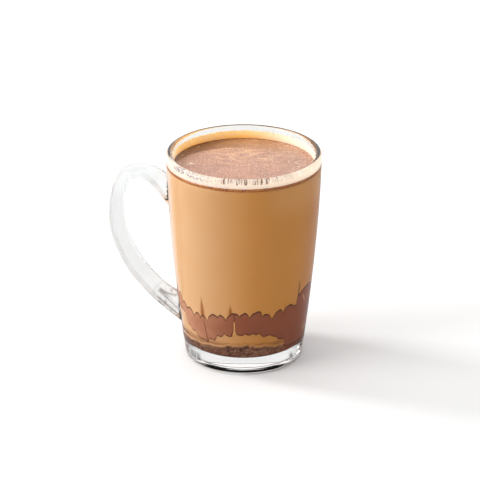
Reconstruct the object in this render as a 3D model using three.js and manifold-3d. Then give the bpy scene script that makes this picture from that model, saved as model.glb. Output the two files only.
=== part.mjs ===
import * as THREE from 'three';
import { mergeVertices } from 'three/addons/utils/BufferGeometryUtils.js';
import Module from 'manifold-3d';

// A caffe mocha in layers, in its tapered clear glass mug with a handle on the left.
// Millimetres, +Z up. The origin is on the mug's axis, in the middle of its flat underside.
// A bearing is an angle round that axis in degrees, from the front, -Y, towards the right, +X.

// The glass mug
const HEIGHT = 115.3;
const RIM_RADIUS = 41;
const FOOT_RADIUS = 31.4;
const TAPER_POWER = 1.62;
const WALL = 3.4;
const HEEL_RADIUS = 2.5;
const FLOOR_HEIGHT = 7.8;
const FLOOR_FILLET = 7;
const WALL_STEPS = 7;
const LIP_STEPS = 6;
const HEEL_STEPS = 3;
const FILLET_STEPS = 4;
const GLASS_SIDES = 64;

// The handle: points on its middle line, X, Z and how thick it is there, from the upper root to the lower
const HANDLE_LINE = [
  [-32, 88.6, 18.3],
  [-42, 97.3, 10.3],
  [-48.3, 102.2, 8],
  [-55.5, 104.9, 6.4],
  [-62.5, 101.2, 6.8],
  [-66.8, 90, 7.8],
  [-66.7, 73, 8.6],
  [-59.3, 53.5, 9.3],
  [-50, 40.5, 9.5],
  [-43.3, 33.6, 9.9],
  [-27, 21.8, 14],
];
const HANDLE_WIDTH = 12;
const HANDLE_CORNER = 2.8;
const HANDLE_STEPS = 26;
const CORNER_STEPS = 3;

// The drink: levels above the underside, and the gap that touching pieces keep
const GAP = 0.3;
const DRINK_SIDES = 108;
const SURFACE_LEVEL = 108.1;
const FROTH_THICKNESS = 1.2;
const FROTH_EDGE_RISE = 0.8;
const FROTH_EDGE_TILT = 0.6;
const FOAM_RING_TOP = 112.5;
const FOAM_RING_THICKNESS = 0.6;
const FOAM_RING_SIDES = 60;
const SEDIMENT_LEVEL = 15.3;
const SEDIMENT_SWELL = 3;
const SEDIMENT_SWELL_WIDTH = 28;

// The chocolate band's upper edge: bearing and height of each cusp where milk dips into it
const FRONT_CUSPS = [
  [-62, 32.3],
  [-51.5, 29.5],
  [-43.5, 30.4],
  [-35.5, 29.4],
  [-24.5, 33.5],
  [-16.5, 32.1],
  [-4, 34.9],
  [5, 34.4],
  [17, 34.9],
  [26, 31.3],
  [37, 33.9],
  [51, 36.2],
  [56, 41.2],
  [80, 42.4],
];
const BACK_CUSP_STEP = 11.4;
const BACK_CUSPS = 18;
const BACK_CUSP_LEVEL = 40;
const BACK_CUSP_SWAY = 1.2;
const LOBE_RISE = 1.2;
const LOBE_RISE_PER_DEGREE = 0.2;
const BAND_TOP_LEVEL = 37;

// The chocolate band's lower edge: bearing and height of its turning points
const BAND_FOOT = [
  [-74, 29],
  [-58, 21.5],
  [-40, 17.3],
  [-22, 22.6],
  [-8, 24.3],
  [14, 24.5],
  [27, 21.8],
  [40, 18],
  [60, 17],
  [120, 19],
  [200, 22],
  [286, 29],
];
const BAND_FOOT_LEVEL = 21;

// On the right the band runs down to the sediment, beyond an upright plane that faces this bearing
const RUN_DOWN_BEARING = 75;
const RUN_DOWN_HALF_ANGLE = 29;

// Inside this share of the radius the layers' wavy edges have died out
const CALM_SHARE = 0.55;
const LAYER_RINGS = [0.75];

const { clamp, lerp, smoothstep, degToRad } = THREE.MathUtils;

const wasm = await Module();
wasm.setup();

function outerRadius(z) {
  return FOOT_RADIUS + (RIM_RADIUS - FOOT_RADIUS) * (1 - (1 - z / HEIGHT) ** TAPER_POWER);
}

// Radius of the hollow at height z, or of what fills it with the given inset from the glass
function cavityRadius(z, inset = 0) {
  const straight = outerRadius(z) - WALL - inset;
  const drop = FLOOR_HEIGHT + FLOOR_FILLET - z;
  if (drop <= 0) {
    return straight;
  }
  const fillet = FLOOR_FILLET - inset;
  return straight - fillet + Math.sqrt(Math.max(fillet ** 2 - drop ** 2, 0));
}

function atBearing(bearing, radius, z) {
  const angle = degToRad(bearing);
  return [radius * Math.sin(angle), -radius * Math.cos(angle), z];
}

function arc(centreX, centreY, radius, from, to, steps) {
  const points = [];
  for (let i = 0; i <= steps; i++) {
    const angle = degToRad(lerp(from, to, i / steps));
    points.push(new THREE.Vector2(centreX + radius * Math.cos(angle), centreY + radius * Math.sin(angle)));
  }
  return points;
}

function meshData(positions, triangles) {
  const geometry = new THREE.BufferGeometry();
  geometry.setAttribute('position', new THREE.Float32BufferAttribute(positions, 3));
  geometry.setIndex(triangles);
  geometry.computeVertexNormals();
  return geometry;
}

// Shared corners are merged, and triangles that have no area, as at a lathe's pole, are dropped
function weld(geometry) {
  const bare = geometry.clone();
  bare.deleteAttribute('normal');
  bare.deleteAttribute('uv');
  const merged = mergeVertices(bare);
  const index = merged.index.array;
  const triangles = [];
  for (let i = 0; i < index.length; i += 3) {
    const [a, b, c] = [index[i], index[i + 1], index[i + 2]];
    if (a !== b && b !== c && c !== a) {
      triangles.push(a, b, c);
    }
  }
  return meshData(merged.attributes.position.array, triangles);
}

function toSolid(geometry) {
  const welded = weld(geometry);
  return new wasm.Manifold(new wasm.Mesh({
    numProp: 3,
    vertProperties: new Float32Array(welded.attributes.position.array),
    triVerts: new Uint32Array(welded.index.array),
  }));
}

function toGeometry(solid) {
  const mesh = solid.getMesh();
  return meshData(mesh.vertProperties, Array.from(mesh.triVerts));
}

// A profile of radius and height, turned round the mug's axis
function turned(profile, sides) {
  return new THREE.LatheGeometry(profile, sides).rotateX(Math.PI / 2);
}

function wallPoints(from, to, radiusAt, steps) {
  const points = [];
  for (let i = 0; i <= steps; i++) {
    const z = lerp(from, to, i / steps);
    points.push(new THREE.Vector2(radiusAt(z), z));
  }
  return points;
}

function cupGeometry() {
  const lip = WALL / 2;
  const filletTop = FLOOR_HEIGHT + FLOOR_FILLET;
  const filletCentre = cavityRadius(filletTop) - FLOOR_FILLET;
  const heelCentre = outerRadius(HEEL_RADIUS) - HEEL_RADIUS;
  const profile = [
    new THREE.Vector2(0, 0),
    ...arc(heelCentre, HEEL_RADIUS, HEEL_RADIUS, -90, 0, HEEL_STEPS),
    ...wallPoints(HEEL_RADIUS, HEIGHT - lip, outerRadius, WALL_STEPS).slice(1, -1),
    ...arc(RIM_RADIUS - lip, HEIGHT - lip, lip, 0, 180, LIP_STEPS),
    ...wallPoints(HEIGHT - lip, filletTop, cavityRadius, WALL_STEPS).slice(1, -1),
    ...arc(filletCentre, filletTop, FLOOR_FILLET, 0, -90, FILLET_STEPS),
    new THREE.Vector2(0, FLOOR_HEIGHT),
  ];
  return turned(profile, GLASS_SIDES);
}

// A round bar as thick as the hollow and half of the wall, which ends the handle inside the wall
function handleStopGeometry() {
  const halfWall = (z) => outerRadius(z) - WALL / 2;
  const profile = [
    new THREE.Vector2(0, 0),
    ...wallPoints(0, HEIGHT, halfWall, WALL_STEPS),
    new THREE.Vector2(0, HEIGHT),
  ];
  return turned(profile, GLASS_SIDES);
}

// The rounded section of the handle, as offsets across its thickness and its width
function handleSection(thickness) {
  const section = [];
  const reach = thickness / 2 - HANDLE_CORNER;
  const side = HANDLE_WIDTH / 2 - HANDLE_CORNER;
  const corners = [[reach, side, 0], [-reach, side, 90], [-reach, -side, 180], [reach, -side, 270]];
  for (const [x, y, start] of corners) {
    section.push(...arc(x, y, HANDLE_CORNER, start, start + 90, CORNER_STEPS));
  }
  return section;
}

// Sections lofted along the middle line, each square to it, with flat ends that lie inside the wall
function handleGeometry() {
  const middle = new THREE.CatmullRomCurve3(HANDLE_LINE.map(([x, z]) => new THREE.Vector3(x, 0, z)));
  const thickness = new THREE.CatmullRomCurve3(HANDLE_LINE.map((row) => new THREE.Vector3(row[2], 0, 0)));
  const positions = [];
  const triangles = [];
  const corners = handleSection(HANDLE_WIDTH).length;
  for (let i = 0; i <= HANDLE_STEPS; i++) {
    const share = i / HANDLE_STEPS;
    const point = middle.getPoint(share);
    const along = middle.getTangent(share);
    for (const offset of handleSection(thickness.getPoint(share).x)) {
      positions.push(point.x + along.z * offset.x, offset.y, point.z - along.x * offset.x);
    }
  }
  for (let i = 0; i < HANDLE_STEPS; i++) {
    for (let j = 0; j < corners; j++) {
      const next = (j + 1) % corners;
      const [a, b] = [i * corners + j, i * corners + next];
      triangles.push(a, b, b + corners, a, b + corners, a + corners);
    }
  }
  const last = HANDLE_STEPS * corners;
  for (let j = 1; j < corners - 1; j++) {
    triangles.push(0, j + 1, j, last, last + j, last + j + 1);
  }
  return meshData(positions, triangles);
}

function glassMugGeometry() {
  const handle = toSolid(handleGeometry()).subtract(toSolid(handleStopGeometry()));
  return toGeometry(toSolid(cupGeometry()).add(handle));
}

// A layer of the drink between two wavy faces. Each face gives its height at a bearing and a share
// of the radius, and the side follows the glass at a small gap. A layer's top is split into triangles
// like the foot of the layer above, so that the two stay parallel.
function layerGeometry(footAt, topAt, sideSteps, sideShare = (share) => share) {
  const positions = [0, 0, footAt(0, 0)];
  const triangles = [];
  const rows = [];
  const addRow = (pointAt) => {
    rows.push(positions.length / 3);
    for (let i = 0; i < DRINK_SIDES; i++) {
      positions.push(...pointAt(360 * i / DRINK_SIDES));
    }
  };
  const addFaceRow = (heightAt, share) => addRow((bearing) => {
    const edge = cavityRadius(heightAt(bearing, 1), GAP);
    return atBearing(bearing, edge * share, heightAt(bearing, share));
  });
  for (const share of LAYER_RINGS) {
    addFaceRow(footAt, share);
  }
  for (let i = 0; i <= sideSteps; i++) {
    addRow((bearing) => {
      const z = lerp(footAt(bearing, 1), topAt(bearing, 1), sideShare(i / sideSteps));
      return atBearing(bearing, cavityRadius(z, GAP), z);
    });
  }
  for (const share of [...LAYER_RINGS].reverse()) {
    addFaceRow(topAt, share);
  }
  const crown = positions.length / 3;
  positions.push(0, 0, topAt(0, 0));
  for (let j = 0; j < DRINK_SIDES; j++) {
    const next = (j + 1) % DRINK_SIDES;
    triangles.push(0, rows[0] + next, rows[0] + j);
    for (let i = 0; i + 1 < rows.length; i++) {
      const [a, b, c, d] = [rows[i] + j, rows[i] + next, rows[i + 1] + next, rows[i + 1] + j];
      if (i < LAYER_RINGS.length + sideSteps) {
        triangles.push(a, b, c, a, c, d);
      } else {
        triangles.push(a, b, d, b, c, d);
      }
    }
    triangles.push(crown, rows.at(-1) + j, rows.at(-1) + next);
  }
  return meshData(positions, triangles);
}

function wrap(bearing, from) {
  return from + THREE.MathUtils.euclideanModulo(bearing - from, 360);
}

// How strongly a wavy edge still shows at a share of the radius
function liveliness(share) {
  return smoothstep(share, CALM_SHARE, 1);
}

function allCusps() {
  const [firstBearing, firstHeight] = FRONT_CUSPS[0];
  const [lastBearing] = FRONT_CUSPS.at(-1);
  const cusps = [...FRONT_CUSPS];
  for (let i = 1; i < BACK_CUSPS; i++) {
    const sway = BACK_CUSP_SWAY * Math.sin(i * i);
    cusps.push([lastBearing + i * BACK_CUSP_STEP, BACK_CUSP_LEVEL + sway]);
  }
  cusps.push([firstBearing + 360, firstHeight]);
  return cusps;
}

const CUSPS = allCusps();

// Rounded lobes of chocolate that stand up between the cusps
function bandTopEdge(bearing) {
  const b = wrap(bearing, CUSPS[0][0]);
  const right = clamp(CUSPS.findIndex(([cusp]) => cusp > b), 1, CUSPS.length - 1);
  const [b0, z0] = CUSPS[right - 1];
  const [b1, z1] = CUSPS[right];
  const share = (b - b0) / (b1 - b0);
  const rise = LOBE_RISE + LOBE_RISE_PER_DEGREE * (b1 - b0);
  return lerp(z0, z1, share) + rise * Math.sqrt(Math.sin(Math.PI * clamp(share, 0, 1)));
}

function bandFootEdge(bearing) {
  const b = wrap(bearing, BAND_FOOT[0][0]);
  const right = clamp(BAND_FOOT.findIndex(([turn]) => turn > b), 1, BAND_FOOT.length - 1);
  const [b0, z0] = BAND_FOOT[right - 1];
  const [b1, z1] = BAND_FOOT[right];
  return lerp(z0, z1, smoothstep(b, b0, b1));
}

function bandTop(bearing, share) {
  return lerp(BAND_TOP_LEVEL, bandTopEdge(bearing), liveliness(share));
}

function bandFoot(bearing, share) {
  return lerp(BAND_FOOT_LEVEL, bandFootEdge(bearing), liveliness(share));
}

function sedimentTop(bearing, share) {
  const swell = SEDIMENT_SWELL * Math.exp(-((wrap(bearing, -180) / SEDIMENT_SWELL_WIDTH) ** 2));
  return SEDIMENT_LEVEL + swell * liveliness(share);
}

function frothEdge(bearing) {
  return SURFACE_LEVEL + FROTH_EDGE_RISE + FROTH_EDGE_TILT * Math.cos(degToRad(bearing));
}

function frothTop(bearing, share) {
  return lerp(SURFACE_LEVEL, frothEdge(bearing), smoothstep(share, 0.8, 1));
}

// A face moved up or down by half of the gap, so that two layers stand a full gap apart
function raised(face, rise) {
  return (bearing, share) => face(bearing, share) + rise;
}

const above = (face) => raised(face, GAP / 2);
const below = (face) => raised(face, -GAP / 2);
const latteTop = raised(frothTop, -FROTH_THICKNESS);

// A box that covers everything beyond the upright plane where the band runs down
function beyondRunDown(inset) {
  const size = 4 * RIM_RADIUS;
  const plane = cavityRadius(SEDIMENT_LEVEL) * Math.cos(degToRad(RUN_DOWN_HALF_ANGLE));
  const box = new THREE.BoxGeometry(size, size, size);
  box.translate(0, -size / 2 - plane - inset, 0);
  box.rotateZ(degToRad(RUN_DOWN_BEARING));
  return toSolid(box);
}

function sedimentGeometry() {
  const floor = () => FLOOR_HEIGHT + GAP;
  return layerGeometry(floor, below(sedimentTop), 4, (share) => share ** 2);
}

function lowerLatteGeometry() {
  const whole = toSolid(layerGeometry(above(sedimentTop), below(bandFoot), 2));
  return toGeometry(whole.subtract(beyondRunDown(0)));
}

function chocolateBandGeometry() {
  const band = toSolid(layerGeometry(above(bandFoot), below(bandTop), 2));
  const runDown = toSolid(layerGeometry(above(sedimentTop), raised(bandFoot, 1), 1));
  return toGeometry(band.add(runDown.intersect(beyondRunDown(GAP))));
}

function latteGeometry() {
  return layerGeometry(above(bandTop), below(latteTop), 3);
}

function cocoaFrothGeometry() {
  return layerGeometry(above(latteTop), frothTop, 1);
}

// Milk foam that clings to the glass above the surface
function foamRingGeometry() {
  const positions = [];
  const triangles = [];
  for (let i = 0; i < FOAM_RING_SIDES; i++) {
    const bearing = 360 * i / FOAM_RING_SIDES;
    const foot = frothEdge(bearing) + GAP;
    const outer = cavityRadius(foot, GAP);
    const upper = cavityRadius(FOAM_RING_TOP, GAP);
    positions.push(
      ...atBearing(bearing, outer, foot),
      ...atBearing(bearing, upper, FOAM_RING_TOP),
      ...atBearing(bearing, upper - FOAM_RING_THICKNESS, FOAM_RING_TOP),
      ...atBearing(bearing, outer - FOAM_RING_THICKNESS, foot),
    );
  }
  for (let i = 0; i < FOAM_RING_SIDES; i++) {
    const next = (i + 1) % FOAM_RING_SIDES;
    for (let j = 0; j < 4; j++) {
      const [a, b] = [i * 4 + j, i * 4 + (j + 1) % 4];
      const [c, d] = [next * 4 + (j + 1) % 4, next * 4 + j];
      triangles.push(a, d, c, a, c, b);
    }
  }
  return meshData(positions, triangles);
}

function piece(name, geometry, color, roughness) {
  const material = new THREE.MeshStandardMaterial({ color, roughness, metalness: 0 });
  const mesh = new THREE.Mesh(geometry, material);
  mesh.name = name;
  return mesh;
}

function glassMug() {
  const mesh = piece('glass_mug', glassMugGeometry(), 0xe8eef0, 0.03);
  mesh.material.transparent = true;
  mesh.material.opacity = 0.3;
  return mesh;
}

const mocha = new THREE.Group();
mocha.name = 'caffe_mocha';
mocha.add(
  glassMug(),
  piece('chocolate_sediment', sedimentGeometry(), 0x4a2a1c, 0.4),
  piece('lower_latte', lowerLatteGeometry(), 0xc8925a, 0.45),
  piece('chocolate_band', chocolateBandGeometry(), 0x7c462c, 0.45),
  piece('latte', latteGeometry(), 0xc48f5c, 0.45),
  piece('cocoa_froth', cocoaFrothGeometry(), 0xd9ad92, 0.5),
  piece('milk_foam_ring', foamRingGeometry(), 0xfaead4, 0.55),
);

export default mocha;
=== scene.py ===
"""Looks of a layered caffe mocha in its clear glass mug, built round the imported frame."""
import math
import random
from collections import namedtuple

import bmesh
import bpy
from bpy.props import FloatProperty, FloatVectorProperty, IntProperty, PointerProperty
from mathutils import Matrix, Vector, noise


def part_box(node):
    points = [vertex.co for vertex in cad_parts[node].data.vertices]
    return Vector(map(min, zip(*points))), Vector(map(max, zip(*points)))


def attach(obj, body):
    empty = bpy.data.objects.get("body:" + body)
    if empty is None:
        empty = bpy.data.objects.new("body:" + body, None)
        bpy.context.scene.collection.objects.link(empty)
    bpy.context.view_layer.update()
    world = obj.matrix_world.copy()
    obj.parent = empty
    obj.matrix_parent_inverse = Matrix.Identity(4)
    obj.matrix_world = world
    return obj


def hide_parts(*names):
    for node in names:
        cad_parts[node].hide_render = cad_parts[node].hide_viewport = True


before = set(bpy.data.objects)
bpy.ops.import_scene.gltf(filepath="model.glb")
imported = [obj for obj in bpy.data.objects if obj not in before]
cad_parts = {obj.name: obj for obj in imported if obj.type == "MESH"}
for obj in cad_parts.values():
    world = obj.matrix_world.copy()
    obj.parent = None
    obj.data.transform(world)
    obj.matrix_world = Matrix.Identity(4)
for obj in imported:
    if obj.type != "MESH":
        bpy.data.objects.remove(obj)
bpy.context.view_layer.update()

bl_info = {
    "name": "Caffe Mocha in a Glass Mug",
    "version": (1, 0, 0),
    "blender": (4, 5, 0),
    "location": "View3D > Sidebar > Mocha",
    "description": "Builds a layered caffe mocha and its clear glass mug round the packed frame",
    "category": "Add Mesh",
}

MM = 0.001
MUG_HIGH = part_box("glass_mug")[1]
FOAM_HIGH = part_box("milk_foam_ring")[1]

# The handle's middle line: X, Z and thickness in millimetres, from the upper root to the lower
HANDLE_LINE = [
    (-32, 88.6, 18.3),
    (-42, 97.3, 10.3),
    (-48.3, 102.2, 8),
    (-55.5, 104.9, 6.4),
    (-62.5, 101.2, 6.8),
    (-66.8, 90, 7.8),
    (-66.7, 73, 8.6),
    (-59.3, 53.5, 9.3),
    (-50, 40.5, 9.5),
    (-43.3, 33.6, 9.9),
    (-27, 21.8, 14),
]

# The chocolate band's upper edge. Each lobe: bearing in degrees and height in millimetres of the
# notch that it starts at, then of its crest
FRONT_LOBES = [
    (-78, 36.5, -73, 39.6),
    (-69.5, 33.8, -66.7, 35.8),
    (-62.3, 32.3, -57.1, 34.1),
    (-51.5, 29.5, -46.5, 33.3),
    (-43.6, 30.4, -40.1, 32.6),
    (-35.5, 29.2, -28.6, 35.0),
    (-24.7, 33.5, -21.0, 35.3),
    (-16.7, 31.9, -8.0, 37.3),
    (-4.0, 34.9, 1.0, 37.5),
    (4.9, 34.2, 13.8, 38.2),
    (16.8, 34.7, 21.0, 36.1),
    (25.9, 31.1, 34.8, 37.2),
    (37.2, 33.7, 45.4, 38.3),
    (49.6, 36.3, 52.0, 36.6),
    (53.6, 36.0, 55.5, 42.3),
    (58.4, 42.0, 71.7, 44.7),
    (83.0, 42.0, 89.0, 44.6),
]
BACK_LOBES = 16
BACK_LOBES_START = 11.5
BACK_LOBE_LEVEL = 39
BACK_LOBE_SWAY = 0.9
BACK_LOBE_RISE = 2.2

# Heights at which the band's two faces cross the middle of the glass
BAND_TOP_MIDDLE = 37
BAND_FOOT_MIDDLE = 21

# Heights of the froth's edge above its surface: the mean, and how much more it is in front
FROTH_EDGE_RISE = 0.95
FROTH_EDGE_TILT = 0.65

# The band's lower edge. Each lobe hangs from a notch: bearing and height of the notch, then of its
# lowest point
FOOT_LOBES = [
    (-80, 30.5, -74, 29.2),
    (-67, 28.6, -60, 22.4),
    (-58.5, 22.3, -54.3, 20.3),
    (-51.8, 21.4, -45, 17.5),
    (-41, 17.8, -37.5, 16.8),
    (-34.8, 19.4, -29.5, 18.9),
    (-26.3, 22.3, -23, 21.8),
    (-18.7, 24.2, -12.5, 22.5),
    (-8.4, 25, -3, 23.6),
    (0.8, 24.7, 4.5, 23.9),
    (8.3, 24.9, 11.8, 23.9),
    (15, 24.7, 19.8, 22.1),
    (25.4, 23.3, 30, 21),
    (32.5, 20.9, 37.5, 18.3),
    (41.8, 18.3, 47, 12.2),
    (52, 12, 75, 11.6),
    (98, 12, 106, 11.8),
    (109, 19, 116, 17.6),
    (128, 20, 134, 18.6),
    (145, 21.5, 152, 19.6),
    (160, 21, 170, 19.8),
    (178, 23, 185, 20.6),
    (196, 22.4, 203, 20),
    (214, 24, 222, 22),
    (231, 25.6, 240, 23.4),
    (249, 27.4, 257, 25),
    (266, 30, 273, 28),
]

# The underside: the height of its hollow, then the ring of fine ribs that is pressed into it
UNDERSIDE = 0.6
RIB_RING = (19.2, 24.8)
RIB_DEPTH = 0.15
RIBS = 128


def length_setting(name, description, default):
    return FloatProperty(name=name, description=description, default=default, subtype="DISTANCE")


def place_setting(name, description, default):
    return FloatVectorProperty(name=name, description=description, default=default, subtype="TRANSLATION")


def colour_setting(name, description, default):
    return FloatVectorProperty(name=name, description=description, default=default, subtype="COLOR")


class MochaMug(bpy.types.PropertyGroup):
    """Sizes and tints of the glass mug."""
    height: length_setting("Height", "Height of the mug", MUG_HIGH[2])
    rim_radius: length_setting("Rim radius", "Outer radius at the rim", MUG_HIGH[0])
    foot_radius: length_setting("Foot radius", "Outer radius that the taper ends in, at the foot", 0.0314)
    taper_power: FloatProperty(
        name="Taper", description="How much more the side leans near the foot", default=1.62)
    wall: length_setting("Wall", "Thickness of the glass", 0.0034)
    floor_height: length_setting("Floor", "Thickness of the base", 0.0078)
    fillet: length_setting("Inner corner", "Radius where the wall meets the floor", 0.0095)
    handle_width: length_setting("Handle width", "Width of the handle across its plane", 0.012)
    tint: colour_setting("Tint", "Colour of the glass", (0.78, 0.79, 0.785))
    base_tint: colour_setting("Base tint", "Colour of the thick base", (1.0, 1.0, 0.995))
    handle_tint: colour_setting("Handle tint", "Colour of the handle", (0.655, 0.66, 0.66))


class MochaDrink(bpy.types.PropertyGroup):
    """Levels and colours of the drink."""
    surface: length_setting("Surface", "Height of the froth's surface", 0.1081)
    froth: length_setting("Froth", "Thickness of the cocoa froth", 0.00135)
    foam_top: length_setting("Foam", "Height that the milk foam reaches on the glass", FOAM_HIGH[2])
    sediment: length_setting("Sediment", "Height of the sediment", 0.0153)
    latte: colour_setting("Latte", "Colour of the milky coffee", (0.665, 0.27, 0.056))
    # Painted light: the latte's paler colour on the lit side by the handle
    latte_lit_side: colour_setting("Pale latte", "Its colour on the handle's side", (0.715, 0.405, 0.197))
    chocolate: colour_setting("Chocolate", "Colour of the chocolate band", (0.305, 0.08, 0.034))
    # Painted light: the band's paler colour on the lit side by the handle
    chocolate_lit_side: colour_setting(
        "Pale chocolate", "Its colour on the handle's side", (0.53, 0.23, 0.125))
    dark: colour_setting("Sediment colour", "Colour of the settled syrup", (0.045, 0.011, 0.006))
    cocoa: colour_setting("Froth colour", "Colour of the froth", (0.45, 0.195, 0.113))
    foam: colour_setting("Foam colour", "Colour of the milk foam", (1.0, 0.9, 0.79))
    bubbles: IntProperty(name="Bubbles", description="Number of small bubbles on the froth", default=300)


class MochaStage(bpy.types.PropertyGroup):
    """Camera, floor and light."""
    eye: place_setting("Eye", "Place of the camera", (-0.00206, -1.28316, 0.62442))
    target: place_setting("Target", "Point that the camera faces", (-0.00206, 0, 0.064518))
    lens: FloatProperty(
        name="Lens", description="Focal length in millimetres for a 36 mm sensor", default=197.12)
    floor_size: length_setting("Floor", "Radius of the floor", 4)
    floor_colour: colour_setting("Floor colour", "Colour of the floor", (0.8, 0.8, 0.8))
    surround: FloatProperty(
        name="Surround", description="Brightness of the white surround", default=0.68)
    back_power: FloatProperty(
        name="Back light", description="Power of the light at the back left, in watts", default=28)
    side_power: FloatProperty(
        name="Side light", description="Power of the broad light on the left, in watts", default=35)


class Wire:
    """A shader value, so that sums and products of values add Math nodes."""

    def __init__(self, net, socket):
        self.net = net
        self.socket = socket

    def __add__(self, other):
        return self.net.maths("ADD", self, other)

    __radd__ = __add__

    def __sub__(self, other):
        return self.net.maths("SUBTRACT", self, other)

    def __rsub__(self, other):
        return self.net.maths("SUBTRACT", other, self)

    def __mul__(self, other):
        return self.net.maths("MULTIPLY", self, other)

    __rmul__ = __mul__

    def __truediv__(self, other):
        return self.net.maths("DIVIDE", self, other)

    def __rtruediv__(self, other):
        return self.net.maths("DIVIDE", other, self)

    def __neg__(self):
        return self.net.maths("MULTIPLY", self, -1)


Place = namedtuple("Place", "point x y z bearing radius side")


class Net:
    """A node tree and the few ways in which this object's materials add nodes to it."""

    def __init__(self, tree):
        self.tree = tree
        tree.nodes.clear()

    def node(self, kind, settings=None, inputs=None):
        """Adds a node: its settings first, then the values or links of its sockets."""
        added = self.tree.nodes.new(kind)
        for name, value in (settings or {}).items():
            setattr(added, name, value)
        for name, value in (inputs or {}).items():
            if isinstance(value, Wire):
                self.tree.links.new(value.socket, added.inputs[name])
            else:
                added.inputs[name].default_value = value
        return added

    def wire(self, kind, settings=None, inputs=None, output=0):
        """Adds a node and gives one of its outputs."""
        return Wire(self, self.node(kind, settings, inputs).outputs[output])

    def maths(self, operation, *values):
        return self.wire("ShaderNodeMath", {"operation": operation}, dict(enumerate(values)))

    def limited(self, value):
        return self.maths("MINIMUM", self.maths("MAXIMUM", value, 0), 1)

    def rise(self, value, low, high):
        """0 below low and 1 above high, or the other way round, with a smooth step between."""
        return self.wire("ShaderNodeMapRange", {"interpolation_type": "SMOOTHSTEP"},
                         {"Value": value, "From Min": low, "From Max": high}, "Result")

    def span(self, value, start, full, fading, end):
        """Rises from 0 at start to 1 at full, and falls back to 0 between fading and end."""
        return self.rise(value, start, full) * self.rise(value, end, fading)

    def hump(self, value, centre, width):
        """1 where value is centre, falling off evenly on both sides."""
        offset = (value - centre) / width
        return self.maths("EXPONENT", -(offset * offset))

    def length(self, x, y):
        return self.maths("SQRT", x * x + y * y)

    def blend(self, share, first, second):
        """Mixes two colours, each a wire or three numbers."""
        first, second = (side if isinstance(side, Wire) else rgba(side) for side in (first, second))
        return self.wire("ShaderNodeMix", {"data_type": "RGBA"}, {0: share, 6: first, 7: second}, 2)

    def painted(self, colour, *coats):
        """A colour under coats of paint, each a share and a colour."""
        for share, coat in coats:
            colour = self.blend(share, colour, coat)
        return colour

    def grain(self, place, scale, detail=2.0, distortion=0.0):
        """Soft noise from 0 to 1 with features 1 / scale millimetres across."""
        return self.wire("ShaderNodeTexNoise", None,
                         {"Vector": place, "Scale": scale, "Detail": detail, "Distortion": distortion})

    def joined(self, x, y, z):
        return self.wire("ShaderNodeCombineXYZ", None, {0: x, 1: y, 2: z})

    def split(self, vector):
        parts = self.node("ShaderNodeSeparateXYZ", None, {0: vector})
        return [Wire(self, part) for part in parts.outputs]

    def place(self):
        """The point in millimetres, and its place round the mug's axis."""
        source = self.wire("ShaderNodeTexCoord", output="Object")
        point = self.wire("ShaderNodeVectorMath", {"operation": "SCALE"}, {0: source, "Scale": 1 / MM})
        x, y, z = self.split(point)
        bearing = self.maths("ARCTAN2", x, -y) * (180 / math.pi)
        radius = self.length(x, y)
        return Place(point, x, y, z, bearing, radius, x / radius)

    def attribute(self, name):
        return self.wire("ShaderNodeAttribute", {"attribute_name": name}, output="Fac")

    def mixed(self, share, first, second):
        return self.wire("ShaderNodeMixShader", None, {0: share, 1: first, 2: second})

    def plain(self, kind, colour, **sockets):
        """A shader whose sockets are all constants."""
        return self.wire(kind, None, {"Color": rgba(colour), **sockets})

    def surface(self, **sockets):
        """The Principled shader; names are socket names with _ for spaces."""
        named = {name.replace("_", " "): value for name, value in sockets.items()}
        return self.wire("ShaderNodeBsdfPrincipled", None, named)

    def finish(self, shader):
        self.node("ShaderNodeOutputMaterial", None, {"Surface": shader})


def new_net(name):
    material = bpy.data.materials.new(name)
    material.use_nodes = True
    return material, Net(material.node_tree)


def rgba(colour):
    return (*colour, 1)


def lerp(first, second, share):
    return first + (second - first) * share


def smooth(value, low, high):
    share = min(max((value - low) / (high - low), 0), 1)
    return share * share * (3 - 2 * share)


def wrapped(bearing, start):
    return start + (bearing - start) % 360


class Form:
    """The mug's walls in millimetres, from its settings."""

    def __init__(self):
        mug = bpy.context.scene.mocha_mug
        self.height = mug.height / MM
        self.rim = mug.rim_radius / MM
        self.foot = mug.foot_radius / MM
        self.power = mug.taper_power
        self.wall = mug.wall / MM
        self.floor = mug.floor_height / MM
        self.fillet = mug.fillet / MM
        self.handle_width = mug.handle_width / MM

    def outer(self, z):
        return self.foot + (self.rim - self.foot) * (1 - (1 - z / self.height) ** self.power)

    def cavity(self, z, reach=0.0):
        """Radius of the hollow at height z, or of what fills it and reaches into the glass."""
        straight = self.outer(z) - self.wall + reach
        drop = self.floor + self.fillet - z
        if drop <= 0:
            return straight
        fillet = self.fillet + reach
        return straight - fillet + math.sqrt(max(fillet ** 2 - drop ** 2, 0))


def arc(centre, middle, radius, start, end, steps):
    points = []
    for i in range(steps + 1):
        angle = math.radians(lerp(start, end, i / steps))
        points.append((centre + radius * math.cos(angle), middle + radius * math.sin(angle)))
    return points


def rows(start, end, radius_at, steps):
    heights = [lerp(start, end, i / steps) for i in range(steps + 1)]
    return [(radius_at(z), z) for z in heights]


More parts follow.
